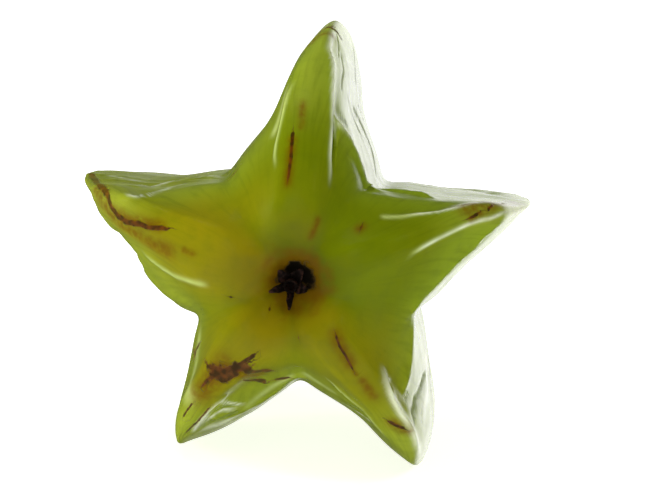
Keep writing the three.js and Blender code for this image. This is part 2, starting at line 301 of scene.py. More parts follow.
# marks on the same net, widths in mm: scar and russet are brown; the white raised lines are painted highlights, the
# soft light green ones painted soft highlights and glow, and the dull dark ones painted shade in grooves
marks = [  # rib, kind, width, line
    (0, "paintedHighlight", 0.7, edges["topRight"]),
    (0, "paintedHighlight", 1.0, [(3.5, 0.352), (4.3, 0.365), (5.2, 0.377), (6.2, 0.391), (7.1, 0.402), (8.3, 0.409),
        (9.5, 0.41)]),
    (0, "paintedHighlight", 0.9, [(0.5, 0.49), (0.7, 0.474), (0.9, 0.459), (0.9, 0.43)]),
    (0, "pale", 0.7, edges["topLeft"][::-1]),
    (0, "pale", 1.8, [(-2.6, 0.4), (-3.2, 0.375), (-4.2, 0.36), (-5.4, 0.35)]),
    (0, "shadedGroove", 0.8, [(3.9, 0.372), (4.6, 0.384), (5.3, 0.4), (6, 0.42)]),
    (0, "shadedGroove", 1.8, [(5.6, 0.48), (5.8, 0.502), (6.2, 0.532), (6.7, 0.548), (7.1, 0.556), (7.5, 0.561),
        (8, 0.552), (8.8, 0.536), (9.3, 0.495)]),
    (0, "shadedGroove", 0.7, [(5.7, 0.545), (5.9, 0.559), (6.3, 0.584), (6.7, 0.606)]),
    (0, "shadedGroove", 1.0, [(2.3, 0.478), (2.7, 0.464), (3.4, 0.457), (3.6, 0.432), (4.1, 0.415)]),
    (0, "shadedGroove", 0.8, [(2.2, 0.59), (3, 0.573), (3.9, 0.556), (4.8, 0.558), (5.4, 0.575)]),
    (0, "shadedGroove", 0.5, [(0.9, 0.492), (1.2, 0.484), (1.9, 0.473), (2.6, 0.44)]),
    (0, "shadedGroove", 0.9, [(4.4, 0.45), (5.2, 0.462), (6.2, 0.49), (7.2, 0.52), (8.2, 0.515)]),
    (1, "pale", 0.8, [(-6.4, 0.309), (-5.9, 0.313), (-4.7, 0.322), (-4, 0.338), (-2.4, 0.351)]),
    (1, "paintedHighlight", 0.5, [(-4.7, 0.322), (-4, 0.338), (-2.4, 0.351), (-1.9, 0.368), (-1.8, 0.391), (-2, 0.42),
        (-2.6, 0.45)]),
    (1, "paintedHighlight", 0.5, edges["rightLower"][1:] + [(-0.1, 0.44)]),
    (1, "pale", 0.8, edges["rightLower"]),
    (1, "paintedHighlight", 0.5, [(-9.1, 0.434), (-8.1, 0.439), (-7.4, 0.439), (-6.4, 0.435), (-5.6, 0.433), (-4.6, 0.437),
        (-3.6, 0.45)]),
    (2, "paintedHighlight", 1.2, [(-5.1, 0.31), (-3.9, 0.31), (-2.6, 0.311), (-2.1, 0.32), (-1.5, 0.334), (-1.1, 0.351),
        (-0.9, 0.369), (-0.9, 0.388), (-0.7, 0.41), (-0.9, 0.448), (-1.2, 0.49)]),
    (2, "paintedHighlight", 0.5, [(-4.6, 0.335), (-3.6, 0.325), (-2.7, 0.317), (-2, 0.323)]),
    (2, "paintedHighlight", 2.2, [(-7.4, 0.58), (-6.9, 0.558), (-6.2, 0.528), (-5.6, 0.492), (-4.7, 0.456), (-3.8, 0.44),
        (-3, 0.43)]),
    (2, "shadedGroove", 1.6, [(-6.6, 0.53)] + edges["lowerRightGroove"] + [(-1.3, 0.392)]),
    (2, "shadedGroove", 0.5, [(-5, 0.386), (-4.6, 0.382), (-3.6, 0.368), (-3, 0.36)]),
    (2, "shadedGroove", 0.5, [(-4.9, 0.452), (-4.6, 0.441), (-3.6, 0.426), (-2.4, 0.418)]),
    (2, "shadedGroove", 0.6, [(-6.8, 0.6), (-5.8, 0.58), (-5.1, 0.529)]),
    (2, "pale", 0.7, [(6.9, 0.31)] + edges["lowerRightEdge"]),
    (2, "shadedGroove", 0.6, [(6.6, 0.418), (6, 0.405), (4.7, 0.378), (4, 0.374)]),
    (2, "paintedHighlight", 0.5, [(7, 0.44), (6.2, 0.428), (5.4, 0.415), (4.6, 0.405), (3.8, 0.4), (3.2, 0.41)]),
    (2, "pale", 2.2, [(9.8, 0.385), (8.3, 0.39), (7.4, 0.395), (6.8, 0.4)]),
    (3, "paintedHighlight", 0.7, edges["lowerLeftShoulder"] + [(-2.2, 0.44)]),
    (3, "paintedHighlight", 0.6, [(-3.3, 0.35), (-3.9, 0.357), (-5.4, 0.405), (-6.2, 0.432)]),
    (3, "paintedHighlight", 0.6, [(-3.2, 0.416), (-3.7, 0.407), (-4.2, 0.404), (-4.8, 0.408), (-5.9, 0.434)]),
    (3, "shadedGroove", 0.6, [(-3.3, 0.39), (-3.9, 0.388), (-4.8, 0.397), (-5.8, 0.42)]),
    (3, "shadedGroove", 0.7, [(-3.5, 0.428), (-4.1, 0.424), (-4.8, 0.428), (-5.5, 0.434), (-6, 0.448)]),
    (3, "paintedHighlight", 2.4, [(-3, 0.435), (-3.4, 0.441), (-4.2, 0.452), (-4.8, 0.457), (-5.9, 0.458), (-6.4, 0.465)]),
    (3, "pale", 2.8, [(8.5, 0.36), (7.5, 0.371), (6.7, 0.378), (5.3, 0.366), (3.4, 0.35), (1.8, 0.345),
        (0.8, 0.37)]),
    (3, "pale", 1.8, [(-5.9, 0.445), (-6.5, 0.435), (-7.1, 0.42), (-7.8, 0.407), (-8.7, 0.4), (-9.6, 0.395)]),
    (4, "paintedHighlight", 0.75, [(3.8, 0.45), (4.5, 0.432), (5.4, 0.451), (6.2, 0.489), (6.6, 0.497), (7, 0.507),
        (7.7, 0.508), (8.9, 0.498), (10.4, 0.444)]),
    (4, "paintedHighlight", 0.75, [(2.6, 0.39), (2.6, 0.38), (3, 0.375), (4.5, 0.384), (5.6, 0.406), (6.2, 0.422),
        (6.9, 0.46), (7.5, 0.475)]),
    (4, "paintedHighlight", 0.75, [(2.6, 0.534), (3.3, 0.532), (4.1, 0.525), (4.8, 0.521), (5.3, 0.526)]),
    (4, "pale", 1.2, edges["leftLower"][::-1]),
    (4, "scar", 1.3, [(1, 0.54), (1.4, 0.53), (2.1, 0.495), (2, 0.465), (0.7, 0.401)]),
    (4, "scar", 1.1, [(0.7, 0.401), (-0.4, 0.384), (-0.9, 0.37), (-1, 0.354), (-0.6, 0.336)]),
    (4, "scar", 0.9, [(-0.6, 0.336), (-0.5, 0.323), (0.3, 0.299)]),
    (4, "russet", 2.6, [(-1.6, 0.366), (-1.7, 0.352), (-1.9, 0.336), (-2.3, 0.318), (-1.9, 0.29)]),
    (4, "russet", 3.2, [(0.6, 0.43), (-0.3, 0.417), (-0.8, 0.396), (-1.2, 0.38), (-1.5, 0.36)]),
    (4, "russet", 2.2, [(-0.6, 0.39), (-0.7, 0.35), (0.2, 0.31)]),
    (4, "russet", 1.1, [(-0.9, 0.265), (-0.8, 0.25)]),
    (4, "scar", 0.35, [(-7.5, 0.2), (-7.6, 0.198)]),
    (4, "scar", 0.35, [(-19.5, 0.093), (-19.2, 0.089)]),
    (4, "scar", 0.3, [(-32.1, 0.18), (-32.1, 0.176)]),
    (0, "scar", 0.55, [(-1.1, 0.318), (-1.1, 0.299), (-1, 0.281), (-1.1, 0.258)]),
    (0, "russet", 1.5, [(-1.1, 0.31), (-1.1, 0.28), (-1.1, 0.25)]),
    (0, "russet", 1.1, [(-0.3, 0.352), (-0.2, 0.325)]),
    (0, "scar", 1.4, [(-2, 0.485), (-1.2, 0.495), (-0.6, 0.5), (0, 0.495), (0.6, 0.495), (1.1, 0.497)]),
    (0, "russet", 1.8, [(-1.8, 0.465), (-0.7, 0.475), (0.6, 0.475)]),
    (0, "russet", 1.2, [(5.1, 0.21), (5.1, 0.17)]),
    (0, "scar", 0.9, [(-9.1, 0.392), (-8.7, 0.39)]),
    (1, "scar", 0.4, [(-6.5, 0.271), (-6.4, 0.268)]),
    (1, "russet", 1.6, [(-6.5, 0.272), (-6.4, 0.262)]),
    (1, "russet", 3.6, [(-1.4, 0.379), (-1.1, 0.392), (-1.2, 0.413), (-1.7, 0.443), (-1.8, 0.474),
        (-2, 0.5)]),
    (1, "russet", 1.6, [(0.4, 0.375), (0.1, 0.386), (-0.7, 0.406), (-1.6, 0.432)]),
    (1, "scar", 0.5, [(0.3, 0.372), (0.2, 0.38), (-0.1, 0.388)]),
    (1, "scar", 0.5, [(-0.4, 0.405), (-0.9, 0.418)]),
    (1, "scar", 0.5, [(-1.6, 0.46), (-1.2, 0.44)]),
    (2, "scar", 0.4, [(-1.4, 0.192), (-0.8, 0.209), (-0.6, 0.23), (-0.2, 0.253)]),
    (2, "russet", 0.9, [(-1.4, 0.192), (-0.8, 0.209), (-0.6, 0.23), (-0.2, 0.253), (0, 0.265)]),
    (2, "russet", 2.2, [(-1.4, 0.19), (-0.8, 0.215), (-0.4, 0.245)]),
    (2, "scar", 0.7, [(0.7, 0.354), (0.2, 0.363), (-0.3, 0.372)]),
    (2, "russet", 2.2, [(0.5, 0.357), (0, 0.368), (-0.5, 0.38)]),
    (2, "russet", 1.6, [(-0.2, 0.28), (0.2, 0.31)]),
    (3, "scar", 3.4, [(0.3, 0.277), (-0.6, 0.275), (-1, 0.266)]),
    (3, "scar", 1.9, [(-0.9, 0.266), (-1.2, 0.258), (-1.4, 0.249)]),
    (3, "scar", 0.7, [(-1.2, 0.252), (-1.6, 0.233), (-2.1, 0.216)]),
    (3, "scar", 1.5, [(-1.2, 0.256), (-2.4, 0.245), (-6.6, 0.3), (-7.2, 0.317)]),
    (3, "scar", 0.5, [(-5, 0.31), (-6.1, 0.34)]),
    (3, "scar", 0.6, [(0.2, 0.28), (0.6, 0.3), (0.6, 0.314)]),
    (3, "scar", 1.2, [(-6.1, 0.34), (-6.8, 0.359), (-7.1, 0.377)]),
    (3, "scar", 1.1, [(-7.9, 0.387), (-8.5, 0.4)]),
    (3, "russet", 4, [(0.2, 0.26), (0.1, 0.29), (0.2, 0.33)]),
    (3, "russet", 2.4, [(-1.2, 0.256), (-3, 0.265), (-6.5, 0.32)]),
    (3, "russet", 1.2, [(-7.8, 0.387), (-8.3, 0.396)]),
    (3, "scar", 0.8, [(7.3, 0.44), (6.7, 0.39), (6.5, 0.4)]),
    (3, "scar", 0.7, [(7, 0.365), (6.9, 0.383), (6.7, 0.392)]),
    (3, "scar", 0.35, [(0.2, 0.349), (0.2, 0.365), (0.2, 0.38)]),
    (3, "scar", 0.4, [(-2.1, 0.348), (-1.8, 0.37), (-1.6, 0.402), (-1.3, 0.423)]),
]

axisStart = sum(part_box("stalk_stub"), Vector()) / 2
axisEnd = sum(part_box("style_tip"), Vector()) / 2


def copyNode(name, copyName):
    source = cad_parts[name]
    thing = bpy.data.objects.new(copyName, source.data.copy())
    bpy.context.collection.objects.link(thing)
    thing.data.materials.clear()
    pickOnly(thing)
    bpy.ops.object.mode_set(mode="EDIT")
    bpy.ops.mesh.select_all(action="SELECT")
    bpy.ops.mesh.remove_doubles(threshold=0.000001)
    bpy.ops.object.mode_set(mode="OBJECT")
    return thing


def turnOf(point):  # degrees clockwise from the top, seen from the stem end
    return math.degrees(math.atan2(point.x - axisStart.x, point.z - axisStart.z))


def ringsOf(mesh):  # the skin's rings of vertices from the stem pit to the tip, each in order round the fruit
    poles = sorted(mesh.verts, key=lambda v: -len(v.link_edges))[:2]
    stemPole = min(poles, key=lambda v: v.co.y)
    first = next(iter(stemPole.link_edges)).other_vert(stemPole)
    ring, done = [first], {stemPole, first}
    while True:
        nearby = [e.other_vert(ring[-1]) for e in ring[-1].link_edges]
        nearby = [v for v in nearby if v not in done and any(e.other_vert(v) is stemPole for e in v.link_edges)]
        if not nearby:
            break
        if len(ring) == 1:
            nearby.sort(key=lambda v: (turnOf(v.co) - turnOf(first.co)) % 360)
        ring.append(nearby[0])
        done.add(nearby[0])
    rings = [ring]
    while True:
        ahead = [{e.other_vert(v) for e in v.link_edges} - done for v in rings[-1]]
        if len(ahead[0]) < 2:
            break
        following = [(ahead[i] & ahead[(i + 1) % len(ring)]).pop() for i in range(len(ring))]
        rings.append(following)  # the triangle that stands on each side of a ring points at the next ring
        done.update(following)
    return stemPole, rings


def makeQuads(thing):  # joins the triangles into a regular net and lays the UV map round and along the fruit
    mesh = bmesh.new()
    mesh.from_mesh(thing.data)
    stemPole, rings = ringsOf(mesh)
    columns = fruit["columns"]
    widest = rings[len(rings) // 2]
    top = max(range(columns), key=lambda i: widest[i].co.z)
    place = {}
    for along, ring in enumerate(rings):
        for index, vert in enumerate(ring):
            place[vert] = ((index - top) % columns, along)
    diagonals = []
    for edge in mesh.edges:
        a, b = edge.verts
        if a in place and b in place and place[a][0] != place[b][0] and place[a][1] != place[b][1]:
            diagonals.append(edge)
    bmesh.ops.dissolve_edges(mesh, edges=diagonals, use_verts=False)
    uv = mesh.loops.layers.uv.new("around and along")
    for face in mesh.faces:
        known = [place[v][0] for v in face.verts if v in place]
        wraps = max(known) - min(known) > columns / 2  # the face closes the ring
        for loop in face.loops:
            if loop.vert in place:
                column, along = place[loop.vert]
                column += columns if wraps and column < columns / 2 else 0
            else:
                column = sum(c + (columns if wraps and c < columns / 2 else 0) for c in known) / len(known)
                along = 0 if loop.vert is stemPole else len(rings) - 1
            loop[uv].uv = (column / columns, along / (len(rings) - 1))
    print("skin net:", len(rings), "rings,", sum(len(f.verts) == 4 for f in mesh.faces), "quads")
    mesh.to_mesh(thing.data)
    mesh.free()


def vertexUv(mesh):
    uv = np.zeros(len(mesh.loops) * 2)
    mesh.uv_layers[0].data.foreach_get("uv", uv)
    corner = np.zeros(len(mesh.loops), int)
    mesh.loops.foreach_get("vertex_index", corner)
    places = np.zeros((len(mesh.vertices), 2))
    places[corner] = uv.reshape(-1, 2)
    return places


def vertexValues(mesh, name):  # places ("co") or normals ("normal")
    values = np.zeros(len(mesh.vertices) * 3)
    mesh.vertices.foreach_get(name, values)
    return values.reshape(-1, 3)


def setAttribute(mesh, name, values):
    layer = mesh.attributes.new(name, "FLOAT", "POINT")
    layer.data.foreach_set("value", np.asarray(values, np.float32))


def smoothStep(values, low, high):
    share = np.clip((values - low) / (high - low), 0, 1)
    return share * share * (3 - 2 * share)


def noiseAt(points):
    return np.array([noise.noise(point) for point in points])


def readSkin(mesh):  # where each vertex lies on the star, and the finer net as rows from the stem to the tip
    uv = vertexUv(mesh)
    half = fruit["perRib"] / 2
    column = uv[:, 0] * fruit["columns"]
    skin = {"along": uv[:, 1], "places": vertexValues(mesh, "co"), "normals": vertexValues(mesh, "normal")}
    skin["off"] = (column + half) % fruit["perRib"] - half  # columns from the crest, clockwise positive
    skin["share"] = np.abs(skin["off"]) / half  # 0 on a crest, 1 in a valley
    skin["rib"] = ((column + half) // fruit["perRib"]).astype(int) % len(fruit["ripe"])
    finer = 2 ** fruit["levels"]
    rows, columns = (fruit["rings"] - 1) * finer, fruit["columns"] * finer
    skin["net"] = np.zeros((rows + 1, columns), int)
    row, column = np.rint(uv[:, 1] * rows).astype(int), np.rint(uv[:, 0] * columns).astype(int)
    skin["net"][row, column % columns] = range(len(uv))
    return skin


def lineOnSkin(skin, rib, points):  # places and normals; the points in between follow the skin
    rows, columns = skin["net"].shape
    walk = np.linspace(0, len(points) - 1, (len(points) - 1) * fruit["lineSteps"] + 1)
    off, along = (np.interp(walk, range(len(points)), values) for values in np.array(points).T)
    column, row = (off + rib * fruit["perRib"]) * (columns // fruit["columns"]), along * (rows - 1)
    left, low = np.floor(column).astype(int), np.floor(row).astype(int)
    line = np.zeros((2, len(walk), 3))
    for right, columnShare in ((0, 1 - column + left), (1, column - left)):
        for high, rowShare in ((0, 1 - row + low), (1, row - low)):
            corner = skin["net"][low + high, (left + right) % columns]
            line += np.array((skin["places"][corner], skin["normals"][corner])) * (columnShare * rowShare)[:, None]
    return line


def measureFrom(skin, line, reach):  # the vertices within reach: distance, side (right positive), share of the line
    ends, normals = line
    near = np.all((skin["places"] > ends.min(0) - reach) & (skin["places"] < ends.max(0) + reach), axis=1)
    near = np.flatnonzero(near)
    places = skin["places"][near]
    gap, side, share = np.full(len(near), 1.0), np.zeros(len(near)), np.zeros(len(near))
    for index, (start, end) in enumerate(zip(ends, ends[1:])):
        way = end - start
        length = np.linalg.norm(way)
        step = np.clip((places - start) @ way / length, 0, length)
        apart = places - start - step[:, None] * way / length
        here = np.linalg.norm(apart, axis=1)
        closer = here < gap
        gap[closer] = here[closer]
        side[closer] = np.sign(apart @ np.cross(way, normals[index]))[closer]
        share[closer] = (index + step[closer] / length) / (len(ends) - 1)
    return near, gap, side, share


def soften(skin, values, passes, kept):  # evens the values out over the net, less where kept nears 1
    net = values[skin["net"]]
    for _ in range(passes):
        net = (np.roll(net, 1, 1) + net + np.roll(net, -1, 1)) / 3
        net[1:-1] = (net[:-2] + net[1:-1] + net[2:]) / 3
    even = values.copy()
    even[skin["net"][1:-1]] = net[1:-1]
    return even + ((values - even).T * kept).T


def foldHeights(skin):  # how far each vertex goes outwards and towards the stem end
    height, push, close = np.zeros((3, len(skin["along"])))
    for fold in folds:
        line = lineOnSkin(skin, fold["rib"], fold["line"])
        reach = max(fold["left"], fold["right"]) * fruit["foldReach"]
        near, gap, side, share = measureFrom(skin, line, reach)
        width = np.where(side > 0, fold["right"], fold["left"]) / 1000
        fade = smoothStep(share, *fruit["foldStart"]) * (1 - smoothStep(share, *fruit["foldEnd"]))
        shape = np.exp(-(gap / width) ** fruit["foldPower"]) * fade / 1000
        height[near] += fold["raise"] * shape
        push[near] = np.maximum(push[near], fold["push"] * shape)
        close[near] = np.maximum(close[near], 1 - smoothStep(gap, *fruit["crisp"]))
    return (soften(skin, values, fruit["foldPasses"], close) for values in (height, push))


def ridgeHeights(skin):  # wavy lines round the flanks, broken here and there
    flank = smoothStep(skin["along"], *fruit["ridgeStart"]) * (1 - smoothStep(skin["along"], *fruit["ridgeEnd"]))
    drift = noiseAt(skin["places"] / fruit["ridgeDrift"])
    gaps = noiseAt(skin["places"] / fruit["ridgeDrift"] * 1.7 + 31)  # a finer noise, taken elsewhere
    wave = skin["along"] * fruit["ridges"] + drift * fruit["ridgeSway"]
    ridge = np.abs(wave % 1 - 0.5) / fruit["ridgeWidth"]
    return fruit["ridgeDepth"] * np.exp(-ridge ** 2) * flank * smoothStep(gaps, *fruit["ridgeGaps"])


def foldSkin(mesh):
    skin = readSkin(mesh)
    along = skin["along"]
    height, push = foldHeights(skin)
    height += ridgeHeights(skin)
    swell = noiseAt(skin["places"] / fruit["swellSize"])
    height += fruit["swellDepth"] * swell * smoothStep(along, *fruit["swellAlong"])
    front = smoothStep(along, *fruit["frontStart"]) * (1 - smoothStep(along, *fruit["frontEnd"]))
    places = soften(skin, skin["places"], fruit["frontPasses"], 1 - front)  # rounder shoulders towards the stem
    moved = places + skin["normals"] * height[:, None] - np.outer(push, (0, 1, 0))
    moved[:, 2] = np.maximum(moved[:, 2], 0)  # stays on the floor
    mesh.vertices.foreach_set("co", moved.ravel())
    mesh.update()


def paintMarks(mesh):
    skin = readSkin(mesh)
    count = len(skin["along"])
    nearest, across, here = np.full(count, 9.0), np.full(count, 9.0), np.zeros(count)
    soft = {kind: np.zeros(count) for kind in ("russet", "paintedHighlight", "pale", "shadedGroove")}
    for rib, kind, wide, points in marks:
        line, half = lineOnSkin(skin, rib, points), wide / 2000
        near, gap, side, share = measureFrom(skin, line, fruit["markReach"] + half)
        if kind in soft:
            fade = smoothStep(share, *fruit["markStart"]) * (1 - smoothStep(share, *fruit["markEnd"]))
            fade = 1 if kind == "russet" else fade
            soft[kind][near] = np.maximum(soft[kind][near], np.exp(-(gap / half) ** 2) * fade)
            continue
        closer = gap / half < nearest[near]
        near, gap, side = near[closer], gap[closer], side[closer]
        nearest[near] = gap / half
        across[near] = side * gap / half  # from the scar's middle, in half widths
        here[near] = np.clip((fruit["scarReach"] + half - gap) / fruit["scarFade"], 0, 1)
    for name, values in {"scarAcross": across, "scarHere": here, **soft}.items():
        setAttribute(mesh, name, values)


def paintRipeness(mesh):
    skin = readSkin(mesh)
    ripeOf = np.array(fruit["ripe"])
    beside = (skin["rib"] + np.sign(skin["off"]).astype(int)) % len(ripeOf)
    toNext = smoothStep(skin["share"], *fruit["ripeBlend"])
    ripe = ripeOf[skin["rib"]] * (1 - toNext) + ripeOf[beside] * toNext
    green = fruit["valleyGreen"] * smoothStep(skin["share"], *fruit["valley"])
    green = green * smoothStep(skin["along"], *fruit["valleyAlong"])
    for name, values in {"ripe": ripe * (1 - green), "along": skin["along"], "share": skin["share"]}.items():
        setAttribute(mesh, name, values)


def buildFruit():
    thing = copyNode("fruit", "star_fruit_skin")
    makeQuads(thing)
    addModifier(thing, "SUBSURF", levels=fruit["levels"], render_levels=fruit["levels"])
    bpy.ops.object.shade_smooth()
    foldSkin(thing.data)
    paintRipeness(thing.data)
    paintMarks(thing.data)
    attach(thing, "root")
    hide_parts("fruit")
    return thing


peel = {
    "blotch": 0.012, "drift": 0.0065, "mottle": 0.0022, "fleck": 0.0011, "grain": 0.0004,  # noise sizes, metres
    "flank": (0.3, 0.41), "middle": (0.24, 0.08),  # where they start and are full on the way to the tip
    "crest": (0.3, 0.02), "crestGlowShare": 0.35,  # the same from valley 1 to crest 0, and how much paler it gets: painted glow of light through the thin crests
    "streaksRound": 11, "streaksAlong": 6, "streakSide": 0.022,  # in half a rib, in the fruit's length; metres
    "streakShare": 0.25, "spotShare": 0.14,
    "pit": (0.0028, 0.0019), "halo": (0.0066, 0.003), "haloShare": 0.85,  # metres where they start and are full
    "pitShift": (0.0007, 0, 0.0009), "pitRagged": 0.005,  # metres off the stalk's axis, and how uneven
    "shadedInsideHues": ("#545c00", "#857404"), "frontHues": ("#6c7a03", "#91860b"),  # green and ripe; the inside ones are darker: painted shade in the bowl round the pit
    # the side hues are lighter: painted light on the flanks; the crest hue is paler: painted glow of light through
    # the thin crests
    "litSideHues": ("#83971c", "#9da12a"), "crestGlowHue": "#a9b43b", "streakHue": "#4c5a02",
    # the white and the pale green line hues are painted highlights, the grey-green one is painted shade in grooves
    "paintedHighlightHue": "#e8eed2", "softHighlightHue": "#bac872", "grooveShadeHue": "#718236", "russetHue": "#6e4600",
    # the near-black pit hue is painted shade of the deep pit over its dried tissue
    "crustHues": ("#361800", "#683402"), "haloHue": "#6b4a06", "pitShadeHue": "#0b0503",
    "gloss": (0.15, 0.24), "dull": 0.65, "dry": 0.85,  # roughness of the wax, of scars and grooves, and of the pit
    "mottleLift": 0.25, "grainLift": 0.15, "scarLift": 0.3, "highlightLineLift": 0.5, "grooveLift": -0.6,  # of the relief
    "relief": 0.0004, "reliefStrength": 0.4,  # metres
}


def skinMaterial():  # carambola skin: thin waxy cuticle over wet flesh, so clear highlights over a deep, soft tone
    material, tree = newMaterial("waxy star fruit skin")
    place = addNode(tree, "TexCoord").outputs["Object"]
    painted = {}
    for name in ("along", "share", "ripe", "russet", "paintedHighlight", "pale", "shadedGroove", "scarAcross", "scarHere"):
        painted[name] = addNode(tree, "Attribute", attribute_name=name).outputs["Fac"]
    noises = {}
    for name, detail in (("blotch", 3), ("drift", 2), ("mottle", 3), ("fleck", 2), ("grain", 2)):
        noises[name] = addNode(tree, "TexNoise", {"Vector": place, "Scale": 1 / peel[name], "Detail": detail})

    # where the skin is flank, middle of the front, crest and pit: the painted shade in the middle, the painted
    # light on the flanks, the painted glow on the crests and the painted shade in the pit follow these
    part = {}
    for name, measure, full in (("flank", "along", 1), ("middle", "along", 1),
                                ("crest", "share", peel["crestGlowShare"])):
        start, end = peel[name]
        part[name] = addNode(tree, "MapRange", {"Value": painted[measure], "From Min": start, "From Max": end,
                                                "To Max": full}, interpolation_type="SMOOTHSTEP")
    # paler where a crest nears the flank: painted glow of light through the thin crests
    crest = addNode(tree, "Math", {0: part["crest"], 1: part["flank"]}, operation="MULTIPLY")
    pitMiddle = axisStart + Vector(peel["pitShift"])
    pitGap = addNode(tree, "VectorMath", {0: place, 1: pitMiddle}, operation="DISTANCE").outputs["Value"]
    pitGap = addNode(tree, "Math", {0: noises["mottle"], 1: peel["pitRagged"], 2: pitGap},
                     operation="MULTIPLY_ADD")
    pitGap = addNode(tree, "Math", {0: pitGap, 1: peel["pitRagged"] / 2}, operation="SUBTRACT")

    # ground colour: greener or riper in soft blotches, which are calmer away from the pit
    ripe = addNode(tree, "Math", {0: noises["blotch"], 1: 1.2, 2: painted["ripe"]}, operation="MULTIPLY_ADD")
    ripe = addNode(tree, "Math", {0: ripe, 1: 0.6}, operation="SUBTRACT")
    calmer = addNode(tree, "MapRange", {"Value": painted["along"], "From Min": 0.16, "From Max": 0.36, "To Min": 1,
                                        "To Max": 0.5})
    ripe = addNode(tree, "Math", {0: ripe, 1: calmer}, operation="MULTIPLY", use_clamp=True)
    # three grounds: darker inside (painted shade in the bowl round the pit), the front as it is, lighter on the
    # sides (painted light on the flanks)
    ground = {}
    for name in ("shadedInsideHues", "frontHues", "litSideHues"):
        green, yellow = peel[name]
        ground[name] = addNode(tree, "Mix", {0: ripe, 6: green, 7: yellow}, data_type="RGBA")

    # deeper green streaks along the fruit, faint near the pit where they would crowd together
    sideways = addNode(tree, "SeparateXYZ", {0: place})
    sideways = addNode(tree, "Math", {0: sideways.outputs["X"], 1: sideways.outputs["Z"]}, operation="ADD")
    sideways = addNode(tree, "Math", {0: sideways, 1: 1 / peel["streakSide"]}, operation="MULTIPLY")
    around = addNode(tree, "Math", {0: painted["share"], 1: peel["streaksRound"]}, operation="MULTIPLY")
    lengthwise = addNode(tree, "Math", {0: painted["along"], 1: peel["streaksAlong"]}, operation="MULTIPLY")
    streaks = addNode(tree, "CombineXYZ", {0: around, 1: lengthwise, 2: sideways})
    streaks = addNode(tree, "TexNoise", {"Vector": streaks, "Scale": 2, "Detail": 2})
    streaks = addNode(tree, "MapRange", {"Value": streaks, "From Min": 0.45, "From Max": 0.75,
                                         "To Max": peel["streakShare"]}, interpolation_type="SMOOTHSTEP")
    outer = addNode(tree, "MapRange", {"Value": painted["along"], "From Min": 0.16, "From Max": 0.34})
    streaks = addNode(tree, "Math", {0: streaks, 1: outer}, operation="MULTIPLY")
    spots = addNode(tree, "MapRange", {"Value": noises["mottle"], "From Min": 0.45, "From Max": 0.75,
                                       "To Max": peel["spotShare"]}, interpolation_type="SMOOTHSTEP")

    # painted highlights as white and pale green lines on the folds, and painted shade in the dull grooves between
    # them, all broken up a little
    broken = addNode(tree, "MapRange", {"Value": noises["drift"], "From Min": 0.25, "From Max": 0.5, "To Min": 0.5,
                                        "To Max": 0.95})
    for name in ("paintedHighlight", "shadedGroove", "pale"):
        painted[name] = addNode(tree, "Math", {0: painted[name], 1: broken}, operation="MULTIPLY")

    # brown russeting and ragged scars with a cracked crust
    russet = addNode(tree, "MapRange", {"Value": noises["fleck"], "From Min": 0.3, "From Max": 0.6, "To Min": 0.4,
                                        "To Max": 0.8})
    russet = addNode(tree, "Math", {0: russet, 1: painted["russet"]}, operation="MULTIPLY")
    ragged = addNode(tree, "Math", {0: painted["scarAcross"]}, operation="ABSOLUTE")
    ragged = addNode(tree, "Math", {0: noises["fleck"], 1: 1.6, 2: ragged}, operation="MULTIPLY_ADD")
    scar = addNode(tree, "MapRange", {"Value": ragged, "From Min": 1.9, "From Max": 1.4, "To Max": 0.92},
                   interpolation_type="SMOOTHSTEP")
    scar = addNode(tree, "Math", {0: scar, 1: painted["scarHere"]}, operation="MULTIPLY")
    crust = addNode(tree, "MapRange", {"Value": noises["fleck"], "From Min": 0.38, "From Max": 0.62})
    dark, light = peel["crustHues"]
    crust = addNode(tree, "Mix", {0: crust, 6: dark, 7: light}, data_type="RGBA")

    # the pit round the stalk is brown, then near-black: painted shade of the deep pit over its dried tissue
    halo = addNode(tree, "MapRange", {"Value": pitGap, "From Min": peel["halo"][0], "From Max": peel["halo"][1],
                                      "To Max": peel["haloShare"]}, interpolation_type="SMOOTHSTEP")
    pit = addNode(tree, "MapRange", {"Value": pitGap, "From Min": peel["pit"][0], "From Max": peel["pit"][1]},
                  interpolation_type="SMOOTHSTEP")

    colour = ground["frontHues"]
    # over the front ground: painted shade in the middle, painted light on the flanks, painted glow on the crests,
    # painted highlights and soft highlights, painted shade in grooves, the russet, scars and brown halo, and
    # painted shade in the pit
    coats = [  # each over the last, by its own share
        (part["middle"], ground["shadedInsideHues"]), (part["flank"], ground["litSideHues"]), (crest, peel["crestGlowHue"]),
        (streaks, peel["streakHue"]), (spots, peel["streakHue"]), (painted["pale"], peel["softHighlightHue"]),
        (painted["paintedHighlight"], peel["paintedHighlightHue"]), (painted["shadedGroove"], peel["grooveShadeHue"]), (russet, peel["russetHue"]),
        (scar, crust), (halo, peel["haloHue"]), (pit, peel["pitShadeHue"]),
    ]
    for share, coat in coats:
        colour = addNode(tree, "Mix", {0: share, 6: colour, 7: coat}, data_type="RGBA")

    # gloss: clear wax, duller in scars, grooves and the pit
    rough = addNode(tree, "MapRange", {"Value": noises["mottle"], "From Min": 0.2, "From Max": 0.8,
                                       "To Min": peel["gloss"][0], "To Max": peel["gloss"][1]})
    dull = addNode(tree, "Math", {0: scar, 1: painted["shadedGroove"]}, operation="MAXIMUM")
    dull = addNode(tree, "Math", {0: dull, 1: peel["dull"]}, operation="MULTIPLY")
    dry = addNode(tree, "Math", {0: pit, 1: peel["dry"]}, operation="MULTIPLY")
    rough = addNode(tree, "Math", {0: rough, 1: dull}, operation="MAXIMUM")
    rough = addNode(tree, "Math", {0: rough, 1: dry}, operation="MAXIMUM")

